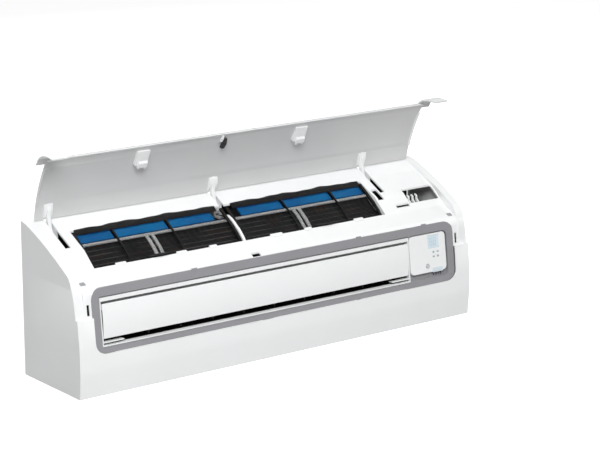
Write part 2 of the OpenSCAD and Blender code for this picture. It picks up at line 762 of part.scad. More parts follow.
module control_box() color([0.90, 0.91, 0.91])
    difference() {
        along(box_x0, box_x1) polygon([[12, 96], [150, 96], [150, 205], [120, 225], [12, 225]]);
        along(box_x0 + 2, box_x1 - 2) polygon([[14, 98], [152, 98], [152, 210], [152, 204],
            [119, 223], [14, 223]]);
    }

module control_cover() color([0.24, 0.24, 0.25])
    along(box_x0, box_x1) polygon([[150.3, 96], [152.3, 96], [152.3, 206], [120.6, 227.6],
        [12, 227.6], [12, 225.3], [120, 225.3], [150.3, 205.3]]);

module control_board() color([0.12, 0.36, 0.22]) {
    along(box_x0 + 6, box_x0 + 7.6) translate([20, 104]) square([110, 108]);
    for (spot = [[40, 130, 12], [70, 160, 9], [104, 128, 10]])
        along(box_x0 + 7.5, box_x0 + 24) translate([spot[0], spot[1]]) circle(spot[2]);
}

module terminal_block() color([0.12, 0.12, 0.13])
    along(box_x0 + 34, box_x1 - 8) difference() {
        translate([100, 98.3]) square([36, 20]);
        for (u = [108, 118, 128]) translate([u, 119]) square([6, 12], center = true);
    }

module wire_clips() color(white)
    for (i = [0 : 2]) {
        x = end_x - 102 + i * 11;
        along(x, x + 3) polygon([[134.8, 240], [134.8, 248], [127, 254], [126, 262],
            [119, 264], [118, 261], [122, 259], [122, 250]]);
    }

module room_sensor() color([0.9, 0.9, 0.88])
    along(works_x1 - 60, works_x1 - 36) translate([162, 218]) circle(3);

// ---- Wall plate ----

module wall_plate() color([0.70, 0.72, 0.74])
    difference() {
        union() {
            translate([-plate_w / 2, -plate_t, -plate_h / 2]) cube([plate_w, plate_t, plate_h]);
            for (x = [-plate_w / 4, plate_w / 4]) {
                translate([x - 14, -shift_u - 13, plate_h / 2 - 18])
                    cube([28, shift_u + 13, 3]);
                translate([x - 14, -shift_u - 13, plate_h / 2 - 18]) cube([28, 2, 8]);
            }
        }
        for (x = [-1, 1], z = [-1, 1]) translate([x * screw_x / 2, 1, z * screw_z / 2])
            rotate([90, 0, 0]) cylinder(h = plate_t + 2, r = screw_hole_r);
        for (x = [-3 : 3]) translate([x * 90 - 24, -plate_t - 1, -12]) cube([48, plate_t + 2, 24]);
    }

// ---- Assembly ----

wall_plate();
rear_chassis();
drain_pan();
drain_spout();
evaporator_front();
evaporator_rear();
evaporator_end_plates();
evaporator_tubes();
refrigerant_pipes();
pipe_nuts();
blower_wheel();
fan_shaft();
fan_motor();
motor_clamp();
bearing_holder();
front_casing();
casing_screws();
hinge_pins();
trim_ring();
outlet_frame();
outlet_flap();
flap_motor();
vane_motors();
link(0);  // link_left
link(1);  // link_right
for (i = [1 : vanes]) vane(0, i);
for (i = [1 : vanes]) vane(1, i);
front_panel();
panel_arms();
panel_clips();
panel_latch();
filter_frame(0);  // filter_frame_left
filter_frame(1);  // filter_frame_right
filter_mesh(0);  // filter_mesh_left
filter_mesh(1);  // filter_mesh_right
cartridges(0);  // cartridges_left
cartridges(1);  // cartridges_right
display_cover();
display_window();
indicator_lenses();
display_board();
test_button();
control_box();
control_cover();
control_board();
terminal_block();
wire_clips();
room_sensor();
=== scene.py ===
# %% [markdown]
# # The indoor unit of a split air conditioner, with its front panel swung up
# The real unit is a white moulded shell, about a metre long, that hangs on a wall. Its front
# panel is a thin curved lid. Swung up, it uncovers two black filters with blue cleaning
# cartridges. Under them are a grey trim ring, the outlet flap and a small display.
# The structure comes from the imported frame, so every place below is read from that frame or
# given in the unit's own section: millimetres out from the wall and up from the underside.

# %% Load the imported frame
import json
import math
import random

import bmesh
import bpy
from mathutils import Matrix, Vector

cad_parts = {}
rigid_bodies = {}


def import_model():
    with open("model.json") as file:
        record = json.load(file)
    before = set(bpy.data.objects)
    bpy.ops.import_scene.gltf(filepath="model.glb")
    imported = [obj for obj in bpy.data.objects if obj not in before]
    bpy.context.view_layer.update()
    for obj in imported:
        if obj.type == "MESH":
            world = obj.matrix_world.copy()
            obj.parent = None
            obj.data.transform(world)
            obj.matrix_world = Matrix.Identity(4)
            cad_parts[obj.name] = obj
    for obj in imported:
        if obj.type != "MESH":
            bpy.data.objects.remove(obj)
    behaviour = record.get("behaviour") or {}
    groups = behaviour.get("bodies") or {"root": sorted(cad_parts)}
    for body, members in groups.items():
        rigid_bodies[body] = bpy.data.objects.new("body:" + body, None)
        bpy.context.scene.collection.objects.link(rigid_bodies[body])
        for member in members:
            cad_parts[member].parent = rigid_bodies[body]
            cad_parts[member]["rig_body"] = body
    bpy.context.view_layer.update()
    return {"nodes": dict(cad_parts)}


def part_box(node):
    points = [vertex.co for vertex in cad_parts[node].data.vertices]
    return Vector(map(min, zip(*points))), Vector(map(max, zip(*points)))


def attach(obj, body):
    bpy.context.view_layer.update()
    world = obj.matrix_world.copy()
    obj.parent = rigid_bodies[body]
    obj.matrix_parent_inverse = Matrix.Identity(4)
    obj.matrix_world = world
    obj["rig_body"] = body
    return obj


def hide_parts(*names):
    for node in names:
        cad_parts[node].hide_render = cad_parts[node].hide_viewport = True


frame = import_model()
MM = 0.001
casing_low, casing_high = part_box("front_casing")


def spot(x, out, up):
    """A place in metres, from millimetres along the unit, out from the wall and up."""
    return Vector((x * MM, -out * MM, casing_low.z + up * MM))


# %% [markdown]
# ## Camera and studio
# A long lens from the front left, a little above the unit, shows the top deck, the filters
# and the inside of the panel at once. A product like this is lit softly from above: the deck
# is the brightest face, the front is a step darker, and the panel's inside, which leans
# forward and down, is a mid grey. A large key lamp from the upper left gives that order. Weak
# lamps overhead, at the right and behind keep the other sides from going dark.

# %% Camera
TURN = math.radians(37.287)       # the view comes from the left of straight ahead
TILT = math.radians(14)           # and looks down by this much
AIM = Vector((0.1207, -0.1, 0.0745))
DISTANCE = 4.6356                 # metres from the aim
LENS, SENSOR = 131.4, 36            # millimetres
look = Vector((math.sin(TURN) * math.cos(TILT), math.cos(TURN) * math.cos(TILT),
               -math.sin(TILT)))
camera_data = bpy.data.cameras.new("camera")
camera_data.lens = LENS
camera_data.sensor_width = SENSOR
camera_data.clip_end = 60
camera = bpy.data.objects.new("camera", camera_data)
camera.location = AIM - look * DISTANCE
camera.rotation_euler = look.to_track_quat("-Z", "Y").to_euler()
bpy.context.scene.collection.objects.link(camera)
bpy.context.scene.camera = camera
print("camera at", [round(v, 3) for v in camera.location])

# %% Floor, backdrop light and lamps
bpy.context.scene.view_settings.view_transform = "Standard"


def lamp(name, place, aim, size, power):
    """A soft rectangular lamp that points at a place."""
    data = bpy.data.lights.new(name, "AREA")
    data.shape = "RECTANGLE"
    data.size, data.size_y = size
    data.energy = power
    made = bpy.data.objects.new(name, data)
    made.location = place
    made.rotation_euler = (Vector(aim) - Vector(place)).to_track_quat("-Z", "Y").to_euler()
    bpy.context.scene.collection.objects.link(made)


def seen_as(tree, strength, for_pieces, for_camera):
    """Gives a strength one value where it lights the pieces and another in the picture."""
    path = tree.nodes.new("ShaderNodeLightPath")
    level = tree.nodes.new("ShaderNodeMapRange")
    level.inputs["To Min"].default_value = for_pieces
    level.inputs["To Max"].default_value = for_camera
    tree.links.new(path.outputs["Is Camera Ray"], level.inputs["Value"])
    tree.links.new(level.outputs["Result"], strength)


# name, place and aim in metres, size in metres, power in watts
lamp("key", (-1.7, -2.9, 2.7), (0, -0.1, 0.05), (2.6, 1.8), 170)
lamp("overhead", (0.1, -0.4, 2.7), (0, -0.15, 0), (3.4, 1.6), 14)
lamp("right side", (3.4, -0.7, 1.3), (0.4, -0.1, 0), (1.6, 1.6), 32)
lamp("behind", (0.6, 3.6, 1.7), (0, 0, 0), (3.0, 1.6), 78)

world = bpy.data.worlds.new("studio")
world.use_nodes = True
bpy.context.scene.world = world
backdrop = world.node_tree.nodes["Background"]
backdrop.inputs["Color"].default_value = (1, 1, 1, 1)
seen_as(world.node_tree, backdrop.inputs["Strength"], 0.26, 1.0)

FLOOR_GAP = 0.5 * MM
FLOOR_HALF = 14                     # metres from its middle to its edge
FLOOR_GREY = 0.48
floor_mesh = bmesh.new()
bmesh.ops.create_grid(floor_mesh, x_segments=1, y_segments=1, size=FLOOR_HALF)
bmesh.ops.translate(floor_mesh, verts=floor_mesh.verts, vec=(0, 0, casing_low.z - FLOOR_GAP))
floor_data = bpy.data.meshes.new("floor")
floor_mesh.to_mesh(floor_data)
floor_mesh.free()
floor = bpy.data.objects.new("floor", floor_data)
bpy.context.scene.collection.objects.link(floor)
floor_paint = bpy.data.materials.new("pale floor")
floor_paint.use_nodes = True
floor_shader = floor_paint.node_tree.nodes["Principled BSDF"]
floor_shader.inputs["Base Color"].default_value = (FLOOR_GREY, FLOOR_GREY, FLOOR_GREY, 1)
floor_shader.inputs["Roughness"].default_value = 0.9
floor_shader.inputs["Specular IOR Level"].default_value = 0.1
floor_shader.inputs["Emission Color"].default_value = (1, 1, 1, 1)
seen_as(floor_paint.node_tree, floor_shader.inputs["Emission Strength"], 0.0, 0.8)
floor_data.materials.append(floor_paint)
print("studio ready")

# %% [markdown]
# ## Shader building blocks
# Moulded plastic is never one flat colour: it has a faint drift of tone, a fine grain from the
# mould, dust that settles on faces that look up, and patches that are a little more polished.
# Those four are worked out once in a node group, and each plastic places it with its own values.

# %% Small helpers for node trees
def fill(tree, socket, value):
    """Links a socket to another one, or gives it a plain value."""
    if isinstance(value, bpy.types.NodeSocket):
        tree.links.new(value, socket)
    else:
        socket.default_value = value


def add(tree, kind, settings=None, **inputs):
    """A shader node with its settings, and its sockets given as values or links."""
    made = tree.nodes.new("ShaderNode" + kind)
    for key, value in (settings or {}).items():
        setattr(made, key, value)
    for key, value in inputs.items():
        fill(tree, made.inputs[key.replace("_", " ")], value)
    return made


def sums(tree, operation, a, b=0.0):
    """One step of arithmetic."""
    made = tree.nodes.new("ShaderNodeMath")
    made.operation = operation
    for socket, value in zip(made.inputs, (a, b)):
        fill(tree, socket, value)
    return made.outputs[0]


def mixed(tree, factor, a, b):
    """A colour between a and b."""
    made = tree.nodes.new("ShaderNodeMix")
    made.data_type = "RGBA"
    # a Mix node has sockets for every type of data: 6 and 7 are its colours, output 2 the result
    for place, value in ((0, factor), (6, a), (7, b)):
        fill(tree, made.inputs[place], value)
    return made.outputs[2]


def ranged(tree, value, low, high, to_low=0.0, to_high=1.0):
    """value stretched from low..high to another range."""
    made = add(tree, "MapRange", None, Value=value, From_Min=low, From_Max=high,
               To_Min=to_low, To_Max=to_high)
    return made.outputs[0]


COLOUR, NUMBER, VECTOR = "NodeSocketColor", "NodeSocketFloat", "NodeSocketVector"


def effect(name, inputs, outputs):
    """An empty node group with named sockets."""
    tree = bpy.data.node_groups.new(name, "ShaderNodeTree")
    for label, kind, value in inputs:
        socket = tree.interface.new_socket(name=label, in_out="INPUT", socket_type=kind)
        socket.default_value = value
    for label, kind in outputs:
        tree.interface.new_socket(name=label, in_out="OUTPUT", socket_type=kind)
    return (tree, tree.nodes.new("NodeGroupInput").outputs,
            tree.nodes.new("NodeGroupOutput").inputs)


def noise(tree, coordinates, size, detail=2.0):
    """Soft noise; size is the scale of the texture, so a larger one is finer."""
    return add(tree, "TexNoise", None, Vector=coordinates, Scale=size,
               Detail=detail).outputs["Fac"]


def bumped(tree, strength, distance, height):
    """A normal pushed about by a height."""
    return add(tree, "Bump", None, Strength=strength, Distance=distance,
               Height=height).outputs["Normal"]


print("node helpers ready")

# %% Moulded surface
DUST = (0.47, 0.44, 0.39, 1)
moulded, given, result = effect(
    "moulded surface",
    [("Colour", COLOUR, (0.8, 0.8, 0.8, 1)), ("Drift Colour", COLOUR, (0.7, 0.7, 0.68, 1)),
     ("Drift", NUMBER, 0.3), ("Dust", NUMBER, 0.1), ("Roughness", NUMBER, 0.4),
     ("Grain Size", NUMBER, 900.0), ("Grain", NUMBER, 0.1)],
    [("Colour", COLOUR), ("Roughness", NUMBER), ("Normal", VECTOR)])
here = add(moulded, "TexCoord").outputs
clouds = ranged(moulded, noise(moulded, here["Object"], 9.0, 4.0), 0.35, 0.65)
toned = mixed(moulded, sums(moulded, "MULTIPLY", clouds, given["Drift"]),
              given["Colour"], given["Drift Colour"])
facing = add(moulded, "SeparateXYZ", None, Vector=here["Normal"]).outputs["Z"]
settled = sums(moulded, "MULTIPLY", ranged(moulded, facing, 0.2, 1.0),
               ranged(moulded, noise(moulded, here["Object"], 60.0, 5.0), 0.4, 0.75))
dusty = sums(moulded, "MULTIPLY", settled, given["Dust"])
moulded.links.new(mixed(moulded, dusty, toned, DUST), result["Colour"])
polish = ranged(moulded, noise(moulded, here["Object"], 22.0, 3.0), 0.3, 0.7, -0.06, 0.08)
moulded.links.new(sums(moulded, "ADD", sums(moulded, "ADD", given["Roughness"], polish), dusty),
                  result["Roughness"])
grain = noise(moulded, here["Object"], given["Grain Size"], 2.0)
moulded.links.new(bumped(moulded, given["Grain"], 0.4 * MM, grain), result["Normal"])
print("moulded surface:", len(moulded.nodes), "nodes")

# %% Drawn and rolled metal
# The streaks follow the way the metal was drawn or rolled, so the noise is stretched that way.
drawn, given, result = effect(
    "drawn metal",
    [("Colour", COLOUR, (0.7, 0.7, 0.7, 1)), ("Stain", COLOUR, (0.4, 0.4, 0.4, 1)),
     ("Staining", NUMBER, 0.4), ("Stretch", VECTOR, (4.0, 400.0, 400.0)),
     ("Roughness", NUMBER, 0.35)],
    [("Colour", COLOUR), ("Roughness", NUMBER), ("Normal", VECTOR)])
here = add(drawn, "TexCoord").outputs
stretched = add(drawn, "VectorMath", {"operation": "MULTIPLY"})
drawn.links.new(here["Object"], stretched.inputs[0])
drawn.links.new(given["Stretch"], stretched.inputs[1])
streaks = noise(drawn, stretched.outputs[0], 1.0, 3.0)
patches = ranged(drawn, noise(drawn, here["Object"], 30.0, 6.0), 0.45, 0.8)
drawn.links.new(mixed(drawn, sums(drawn, "MULTIPLY", patches, given["Staining"]),
                      given["Colour"], given["Stain"]), result["Colour"])
uneven = ranged(drawn, streaks, 0.3, 0.7, -0.1, 0.14)
drawn.links.new(sums(drawn, "ADD", given["Roughness"], uneven), result["Roughness"])
drawn.links.new(bumped(drawn, 0.25, 0.2 * MM, streaks), result["Normal"])
print("drawn metal:", len(drawn.nodes), "nodes")

# %% Woven net
# The net reads the sheet's own UV map, in metres, so its threads follow the bend of the filter.
net_weave, given, result = effect(
    "net weave",
    [("Thread", COLOUR, (0.02, 0.02, 0.02, 1)), ("Lint", COLOUR, (0.2, 0.1, 0.05, 1)),
     ("Pitch", NUMBER, 0.002), ("Thickness", NUMBER, 0.3), ("Lint Amount", NUMBER, 0.5)],
    [("Colour", COLOUR), ("Alpha", NUMBER), ("Height", NUMBER)])
here = add(net_weave, "TexCoord").outputs
across, along_net, _ = add(net_weave, "SeparateXYZ", None, Vector=here["UV"]).outputs
threads = []
for way in (across, along_net):
    turns = sums(net_weave, "DIVIDE", way, given["Pitch"])
    threads.append(sums(net_weave, "MULTIPLY", sums(net_weave, "PINGPONG", turns, 0.5), 2.0))
crown = sums(net_weave, "MAXIMUM", *threads)
edge = sums(net_weave, "SUBTRACT", 1.0, given["Thickness"])
net_weave.links.new(sums(net_weave, "GREATER_THAN", crown, edge), result["Alpha"])
net_weave.links.new(crown, result["Height"])
LINT_SCALE = (14.0, 90.0, 1.0)      # lint lies in streaks along the unit
squashed = add(net_weave, "Mapping", None, Vector=here["UV"], Scale=LINT_SCALE).outputs[0]
lint = ranged(net_weave, noise(net_weave, squashed, 1.0, 4.0), 0.52, 0.78)
net_weave.links.new(mixed(net_weave, sums(net_weave, "MULTIPLY", lint, given["Lint Amount"]),
                          given["Thread"], given["Lint"]), result["Colour"])
print("net weave:", len(net_weave.nodes), "nodes")

# %% [markdown]
# ## Finishes
# Each finish is a Principled shader with one of the groups above. Values that are the same all
# over, such as a coat or a sheen, are set on the shader itself. The white of the shell is a
# cool, glossy white; inner mouldings are duller; the trim is a satin grey.

# %% Plastics
def shader_of(name):
    """A new material and its Principled shader."""
    made = bpy.data.materials.new(name)
    made.use_nodes = True
    return made, made.node_tree, made.node_tree.nodes["Principled BSDF"]


def rgba(colour):
    return (*colour, 1.0)


SURFACE = {"Colour": "Base Color", "Roughness": "Roughness", "Normal": "Normal"}


def dressed(tree, shader, source, values, wiring):
    """Places a node group with its values, and wires its outputs to the shader's sockets."""
    group = tree.nodes.new("ShaderNodeGroup")
    group.node_tree = source
    for key, value in values.items():
        group.inputs[key].default_value = value
    for output, socket in wiring.items():
        tree.links.new(group.outputs[output], shader.inputs[socket])
    return group


def plastic(name, colour, drift, roughness, grain=0.1, grain_size=900.0, drift_amount=0.35,
            dust=0.1, coat=0.0, shine=0.5):
    """A moulded plastic whose colour drifts a little towards a second one."""
    made, tree, shader = shader_of(name)
    values = {"Colour": rgba(colour), "Drift Colour": rgba(drift), "Drift": drift_amount,
              "Dust": dust, "Roughness": roughness, "Grain Size": grain_size, "Grain": grain}
    dressed(tree, shader, moulded, values, SURFACE)
    shader.inputs["Specular IOR Level"].default_value = shine
    shader.inputs["Coat Weight"].default_value = coat
    shader.inputs["Coat Roughness"].default_value = 0.1
    return made


shell_white = plastic("glossy white shell", (0.80, 0.81, 0.815), (0.765, 0.775, 0.775), 0.34,
                      grain=0.06, dust=0.035, coat=0.25)
inner_white = plastic("satin white moulding", (0.76, 0.77, 0.775), (0.71, 0.72, 0.715), 0.48,
                      grain=0.14, dust=0.07)
# the panel's inner face is the shell white painted a darker grey: painted shade
panel_inside_painted_shade = plastic("panel inside in painted shade", (0.59, 0.592, 0.595), (0.545, 0.548, 0.55), 0.5,
                       grain=0.1, dust=0.0)
trim_paint = plastic("satin grey trim", (0.265, 0.265, 0.28), (0.23, 0.23, 0.245), 0.36,
                     grain=0.16, dust=0.06, coat=0.1)
frame_black = plastic("black filter frame", (0.005, 0.005, 0.0055), (0.011, 0.011, 0.011), 0.42,
                      grain=0.2, dust=0.03, shine=0.2)
# the rear chassis and the vanes are painted near black so that the outlet slot reads black:
# painted shade inside the slot
chassis_painted_shade = plastic("chassis in painted shade", (0.014, 0.014, 0.015), (0.03, 0.03, 0.031), 0.5,
                        grain=0.3, dust=0.04, shine=0.3)
vane_painted_shade = plastic("vane in painted shade", (0.05, 0.05, 0.052), (0.075, 0.075, 0.075), 0.4,
                     grain=0.15, dust=0.1)
wheel_black = plastic("black blower", (0.010, 0.010, 0.011), (0.02, 0.02, 0.02), 0.5,
                      grain=0.15, dust=0.1, shine=0.3)
cartridge_blue = plastic("blue cleaning cartridge", (0.003, 0.20, 0.62), (0.008, 0.36, 0.85),
                         0.6, grain=0.5, grain_size=500, drift_amount=0.9, dust=0.0, shine=0.15)
drain_grey = plastic("grey drain moulding", (0.62, 0.63, 0.63), (0.55, 0.55, 0.54), 0.6,
                     grain=0.2)
box_white = plastic("flame-proof box white", (0.72, 0.73, 0.73), (0.66, 0.66, 0.64), 0.55,
                    grain=0.25)
cover_dark = plastic("dark wiring cover", (0.035, 0.035, 0.038), (0.06, 0.06, 0.06), 0.4,
                     grain=0.3, dust=0.12)
terminal_black = plastic("terminal black", (0.016, 0.016, 0.018), (0.03, 0.03, 0.03), 0.5,
                         grain=0.2)
rubber_black = plastic("soft black rubber", (0.02, 0.02, 0.021), (0.035, 0.034, 0.033), 0.75,
                       grain=0.45, grain_size=500)
button_grey = plastic("pale grey button", (0.52, 0.54, 0.55), (0.46, 0.47, 0.48), 0.45,
                      grain=0.12)
pad_grey = plastic("grey stop pad", (0.30, 0.30, 0.31), (0.24, 0.24, 0.25), 0.6, grain=0.25)
motor_cream = plastic("cream motor case", (0.60, 0.60, 0.54), (0.53, 0.53, 0.47), 0.5,
                      grain=0.15)
print("plastics ready")


# %% Metals
def metal(name, colour, stain, staining, roughness, stretch=(4.0, 400.0, 400.0)):
    """A metal with faint stains, and streaks along the axis that stretch keeps small."""
    made, tree, shader = shader_of(name)
    values = {"Colour": rgba(colour), "Stain": rgba(stain), "Staining": staining,
              "Roughness": roughness, "Stretch": stretch}
    dressed(tree, shader, drawn, values, SURFACE)
    shader.inputs["Metallic"].default_value = 1.0
    return made


copper = metal("drawn copper", (0.72, 0.36, 0.20), (0.30, 0.13, 0.07), 0.7, 0.32)
brass = metal("turned brass", (0.72, 0.53, 0.22), (0.42, 0.28, 0.10), 0.5, 0.3)
bright_steel = metal("bright zinc", (0.66, 0.67, 0.69), (0.42, 0.42, 0.43), 0.5, 0.3)
rolled_steel = metal("zinc-coated sheet", (0.56, 0.575, 0.59), (0.40, 0.41, 0.42), 0.8, 0.42,
                     stretch=(60.0, 60.0, 12.0))
motor_steel = metal("motor can", (0.5, 0.51, 0.52), (0.33, 0.33, 0.34), 0.6, 0.38,
                    stretch=(300.0, 20.0, 20.0))
print("metals ready")


# %% Coated fins, boards, glass and lenses
def fin_material():
    """Thin fins painted near black as painted shade for the deep cavity behind the net: fine ribs
    along the unit with darker lines between them as painted shade, and slit rows painted paler as
    painted highlights.
    """
    made, tree, shader = shader_of("fins in painted shade")
    here = add(tree, "TexCoord").outputs
    ribs = add(tree, "TexWave", {"bands_direction": "X"}, Vector=here["Object"], Scale=170.0,
               Distortion=0.0).outputs["Fac"]
    rows = add(tree, "TexWave", {"bands_direction": "Z"}, Vector=here["Object"], Scale=44.0,
               Distortion=0.4, Detail_Scale=3.0).outputs["Fac"]
    bent = ranged(tree, noise(tree, here["Object"], 18.0, 4.0), 0.35, 0.7)
    # near-black colour with darker lines between the ribs: painted shade
    base = mixed(tree, ribs, (0.004, 0.0042, 0.005, 1), (0.02, 0.021, 0.023, 1))
    painted_glint_rows = sums(tree, "MULTIPLY", ranged(tree, rows, 0.86, 1.0), bent)
    # paler slit rows mixed into the colour: painted highlights
    tree.links.new(mixed(tree, painted_glint_rows, base, (0.13, 0.135, 0.14, 1)),
                   shader.inputs["Base Color"])
    tree.links.new(ranged(tree, bent, 0, 1, 0.4, 0.65), shader.inputs["Roughness"])
    shader.inputs["Specular IOR Level"].default_value = 0.2
    tree.links.new(bumped(tree, 0.6, 0.8 * MM, ribs), shader.inputs["Normal"])
    return made


def board_material():
    """Green solder mask with paler tracks."""
    made, tree, shader = shader_of("green circuit board")
    here = add(tree, "TexCoord").outputs
    tracks = add(tree, "TexVoronoi", {"feature": "DISTANCE_TO_EDGE"}, Vector=here["Object"],
                 Scale=160.0).outputs["Distance"]
    line = ranged(tree, tracks, 0.02, 0.06, 1.0, 0.0)
    tree.links.new(mixed(tree, line, (0.01, 0.09, 0.035, 1), (0.05, 0.2, 0.08, 1)),
                   shader.inputs["Base Color"])
    tree.links.new(ranged(tree, noise(tree, here["Object"], 50.0), 0.3, 0.7, 0.25, 0.45),
                   shader.inputs["Roughness"])
    tree.links.new(bumped(tree, 0.3, 0.2 * MM, line), shader.inputs["Normal"])
    return made


def net_material():
    """See-through black net with coppery lint caught in it."""
    made, tree, shader = shader_of("filter net")
    values = {"Thread": (0.004, 0.004, 0.004, 1), "Lint": (0.12, 0.05, 0.02, 1),
              "Pitch": 2.1 * MM, "Thickness": 0.13, "Lint Amount": 0.3}
    group = dressed(tree, shader, net_weave, values, {"Colour": "Base Color", "Alpha": "Alpha"})
    tree.links.new(bumped(tree, 0.8, 0.3 * MM, group.outputs["Height"]), shader.inputs["Normal"])
    shader.inputs["Roughness"].default_value = 0.45
    shader.inputs["Specular IOR Level"].default_value = 0.15
    return made


def tinted(name, deep, pale, roughness, size):
    """Tinted glossy plastic that drifts between two tones."""
    made, tree, shader = shader_of(name)
    here = add(tree, "TexCoord").outputs
    haze = ranged(tree, noise(tree, here["Object"], size, 3.0), 0.3, 0.7)
    tree.links.new(mixed(tree, haze, rgba(deep), rgba(pale)), shader.inputs["Base Color"])
    tree.links.new(ranged(tree, haze, 0, 1, roughness, roughness + 0.08),
                   shader.inputs["Roughness"])
    shader.inputs["Coat Weight"].default_value = 0.8
    shader.inputs["Coat Roughness"].default_value = 0.05
    return made


painted_shade_fins = fin_material()
board_green = board_material()
filter_net = net_material()
display_glass = tinted("pale blue display", (0.60, 0.71, 0.77), (0.67, 0.77, 0.82), 0.18, 40.0)
display_ink = tinted("display segment", (0.46, 0.60, 0.69), (0.52, 0.65, 0.73), 0.3, 90.0)
lens_tint = tinted("lamp lens", (0.66, 0.72, 0.74), (0.72, 0.77, 0.79), 0.2, 120.0)
print_grey = plastic("grey symbol ink", (0.16, 0.17, 0.18), (0.22, 0.23, 0.24), 0.5, grain=0.1)
label_film = tinted("pale label film", (0.62, 0.69, 0.72), (0.68, 0.74, 0.77), 0.35, 200.0)
print("finishes:", len(bpy.data.materials))

# %% [markdown]
# ## Softened mouldings
# A moulded edge is never sharp: the tool gives it a small round, and that round is what catches
# the light. The frame's parts come as loose triangles with sharp edges, so each visible moulding
# is a merged copy of its part with a live Bevel, which keeps the sizes and adds the rounds.
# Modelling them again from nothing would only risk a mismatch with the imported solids. The nuts,
# the motor and the other pressed or turned parts get their small rounds in the same way.

# %% Helpers that finish a piece
SHARP = 32                          # degrees; a flatter edge is left as it is


def finished(shape, name, body, finish, smooth=35.0):
    """Makes a piece from a bmesh, shades it smooth up to an angle and sets it on its body."""
    data = bpy.data.meshes.new(name)
    shape.to_mesh(data)
    shape.free()
    data.shade_smooth()
    data.set_sharp_from_angle(angle=math.radians(smooth))
    piece = bpy.data.objects.new(name, data)
    bpy.context.scene.collection.objects.link(piece)
    data.materials.append(finish)
    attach(piece, body)
    return piece


def rounded_edges(piece, width, segments=2):
    """A live Bevel on the sharp edges."""
    bevel = piece.modifiers.new("rounded edges", "BEVEL")
    bevel.width = width * MM
    bevel.segments = segments
    bevel.limit_method = "ANGLE"
    bevel.angle_limit = math.radians(SHARP)
    bevel.harden_normals = True
    return piece


def body_of(node):
    return frame["nodes"][node]["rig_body"]


def softened(node, finish, width, levels=()):
    """A merged copy of a frame part with rounded edges, shown in its place.

    levels are heights at which its long faces are cut, so that the shading turns only there.
    """
    shape = bmesh.new()
    shape.from_mesh(frame["nodes"][node].data)
    bmesh.ops.remove_doubles(shape, verts=shape.verts, dist=0.01 * MM)
    bmesh.ops.dissolve_limit(shape, angle_limit=math.radians(0.4), verts=shape.verts,
                             edges=shape.edges)
    for level in levels:
        bmesh.ops.bisect_plane(shape, geom=shape.verts[:] + shape.edges[:] + shape.faces[:],
                               plane_co=spot(0, 0, level), plane_no=(0, 0, 1))
    piece = finished(shape, node + "_moulding", body_of(node), finish)
    if width:
        rounded_edges(piece, width)
    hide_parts(node)
    return piece


print("piece helpers ready")

# %% Dress the mouldings
# finish, slot and width of the rounds in millimetres
SOFTENED = {
    "front_casing": (shell_white, "white_plastic", 0.7),
    "front_panel": (shell_white, "white_plastic", 0.8),
    "panel_arms": (shell_white, "white_plastic", 0.9),
    "trim_ring": (trim_paint, "trim_grey", 0.7),
    "display_cover": (shell_white, "white_plastic", 0.9),
    "outlet_frame": (inner_white, "white_plastic", 0.4),
    "outlet_flap": (shell_white, "white_plastic", 0.6),
    "panel_latch": (rubber_black, "black_plastic", 0.5),
    "test_button": (button_grey, "button_grey", 0.4),
    "rear_chassis": (chassis_painted_shade, "black_plastic", 0.5),
    "drain_pan": (inner_white, "white_plastic", 0.6),
    "drain_spout": (drain_grey, "drain_plastic", 0.5),
    "control_box": (box_white, "control_box", 0.6),
    "control_cover": (cover_dark, "cover_dark", 0.5),
    "terminal_block": (terminal_black, "terminal", 0.4),
    "wire_clips": (inner_white, "white_plastic", 0.5),
    "motor_clamp": (inner_white, "white_plastic", 0.7),
    "fan_motor": (motor_steel, "steel", 1.0),
    "bearing_holder": (rubber_black, "rubber", 0.6),
    "refrigerant_pipes": (copper, "copper", 0.0),
    "pipe_nuts": (brass, "brass_nuts", 0.6),
    "wall_plate": (rolled_steel, "steel", 0.4),
    "link_left": (vane_painted_shade, "black_plastic", 0.3),
    "link_right": (vane_painted_shade, "black_plastic", 0.3),
}
# heights at which the casing's faces bend
CASING_BENDS = (6, 45, 59, 97, 213, 218, 235, 241, 265, 271, 293, 299)
PANEL_INWARD = Vector((0, -0.925, -0.379))
for node, (finish, slot, width) in SOFTENED.items():
    levels = CASING_BENDS if node == "front_casing" else ()
    piece = softened(node, finish, width, levels)
    if node == "front_panel":
        # the face that shows when the panel is up is painted a darker grey than the outside:
        # painted shade for a face that leans away from the key lamp
        piece.data.materials.append(panel_inside_painted_shade)
        for face in piece.data.polygons:
            if face.normal.dot(PANEL_INWARD) > 0.8:
                face.material_index = 1
print("softened", len(SOFTENED), "mouldings")

# %% Finishes on the parts that stay as they are
KEPT = {
    "evaporator_front": painted_shade_fins, "evaporator_rear": painted_shade_fins,
    "evaporator_end_plates": rolled_steel, "evaporator_tubes": copper,
    "blower_wheel": wheel_black, "fan_shaft": bright_steel, "hinge_pins": bright_steel,
    "casing_screws": bright_steel, "flap_motor": motor_cream, "vane_motors": motor_cream,
    "display_window": display_glass, "indicator_lenses": lens_tint,
    "display_board": board_green, "control_board": board_green, "room_sensor": drain_grey,
}
vanes = [n for n in frame["nodes"] if n.startswith("vane_") and n != "vane_motors"]
KEPT.update({n: vane_painted_shade for n in vanes})
for node, finish in KEPT.items():
    data = frame["nodes"][node].data
    data.materials.clear()
    data.materials.append(finish)
print("dressed", len(KEPT), "parts")

# %% [markdown]
# ## The filters
# Each filter is a thin black frame with a net stretched over it. Its section follows an arc
# about a point low in the unit, then runs straight on to the strip behind the window, where
# the net ends in a soft wavy lip. Blue pleated cartridges lie under the upper part of the net.
# All of these are swept along the unit, so they share one section and one helper.

